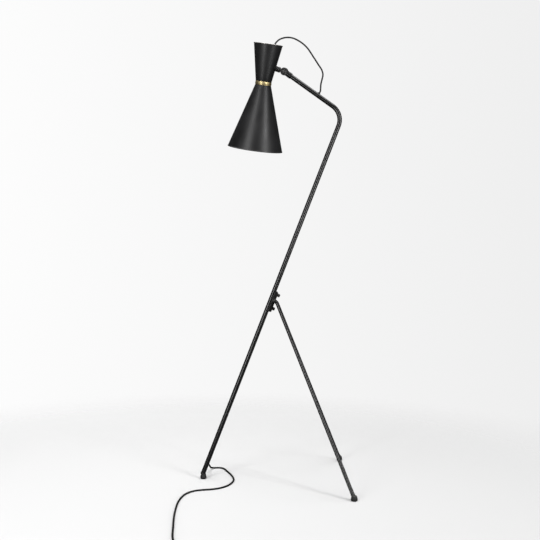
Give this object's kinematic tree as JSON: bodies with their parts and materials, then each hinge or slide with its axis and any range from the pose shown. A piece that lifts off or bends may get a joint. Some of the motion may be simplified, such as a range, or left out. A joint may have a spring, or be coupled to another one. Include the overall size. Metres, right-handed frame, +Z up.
{
  "type": "floor lamp",
  "caption": "Tripod floor lamp: leaning pole with folding rear legs, bent arm, swivelling and tilting two-cone shade, mains cord with foot switch.",
  "frame": {"origin": "the middle of the front foot's flat face, on the floor", "axes": "+X from the front foot towards the rear feet, +Y to the lamp's left rear leg, +Z up"},
  "size_m": [0.5956, 1.0935, 1.6193],
  "materials": {
    "rubber_foot": "matte",
    "black_tube": "satin",
    "black_leg": "satin",
    "black_fitting": "satin",
    "dark_steel": "satin",
    "bright_steel": "satin",
    "shade_paint": "satin",
    "brass": "polished",
    "plug_brass": "polished",
    "cord": "matte",
    "grommet": "matte",
    "grip_plastic": "matte",
    "bakelite": "satin",
    "porcelain": "gloss",
    "bulb_glass": "gloss",
    "black_plastic": "matte",
    "button_plastic": "satin"
  },
  "bodies": {
    "stand": {"foot_front": "rubber_foot", "pole_tube": "black_tube", "pole_bend": "black_tube", "arm_tube": "black_tube", "inner_lead": "cord", "mains_grommet": "grommet", "lead_grommet": "grommet", "arm_ferrule": "black_fitting", "leg_bracket": "black_fitting", "bracket_screws": "dark_steel", "pivot_bolt": "dark_steel", "pivot_nuts": "dark_steel", "lead_arm_side": "cord", "mains_cord": "cord", "mains_coil": "cord", "coil_tie": "grommet", "mains_tail": "cord", "switch_base": "black_plastic", "switch_lid": "black_plastic", "switch_screws": "bright_steel", "plug_body": "black_plastic", "plug_blades": "plug_brass"},
    "right_leg": {"leg_right": "black_leg", "leg_right_foot": "rubber_foot"},
    "left_leg": {"leg_left": "black_leg", "leg_left_foot": "rubber_foot"},
    "swivel": {"swivel_fork": "black_fitting", "swivel_nut": "bright_steel", "clamp_screw": "dark_steel", "clamp_nut": "dark_steel"},
    "head": {"head_tongue": "black_fitting", "head_boss": "black_fitting", "boss_screw": "bright_steel", "shade_upper": "shade_paint", "neck_ring": "brass", "shade_lower": "shade_paint", "holder_nipple": "brass", "nipple_nut": "brass", "cord_grip": "grip_plastic", "holder_cap": "bakelite", "holder_shell": "bakelite", "holder_contact": "porcelain", "bulb_base": "bright_steel", "bulb_glass": "bulb_glass", "lead_head_side": "cord"},
    "switch_key": {"switch_button": "button_plastic"}
  },
  "joints": [
    {"name": "head_swivel", "type": "hinge", "parent": "stand", "child": "swivel", "pos_m": [0.29641, 0, 1.49284], "axis": [0.8131, 0, -0.5821], "range_deg": [-75, 45], "deforming": ["lead_arm_side"]},
    {"name": "head_tilt", "type": "hinge", "parent": "swivel", "child": "head", "pos_m": [0.29641, 0, 1.49284], "axis": [0.1565, 0.9632, 0.2187], "range_deg": [-28, 75], "deforming": ["lead_head_side"]},
    {"name": "right_leg_fold", "type": "hinge", "parent": "stand", "child": "right_leg", "pos_m": [0.2596, 0, 0.65305], "axis": [0, 1, 0], "range_deg": [0, 40]},
    {"name": "left_leg_fold", "type": "hinge", "parent": "stand", "child": "left_leg", "pos_m": [0.2596, 0, 0.65305], "axis": [0, 1, 0], "range_deg": [0, 40]},
    {"name": "switch_press", "type": "slide", "parent": "stand", "child": "switch_key", "axis": [0, 0, -1], "range_m": [0, 0.003], "stiffness_N_per_m": 400, "springref_m": -0.002}
  ]
}
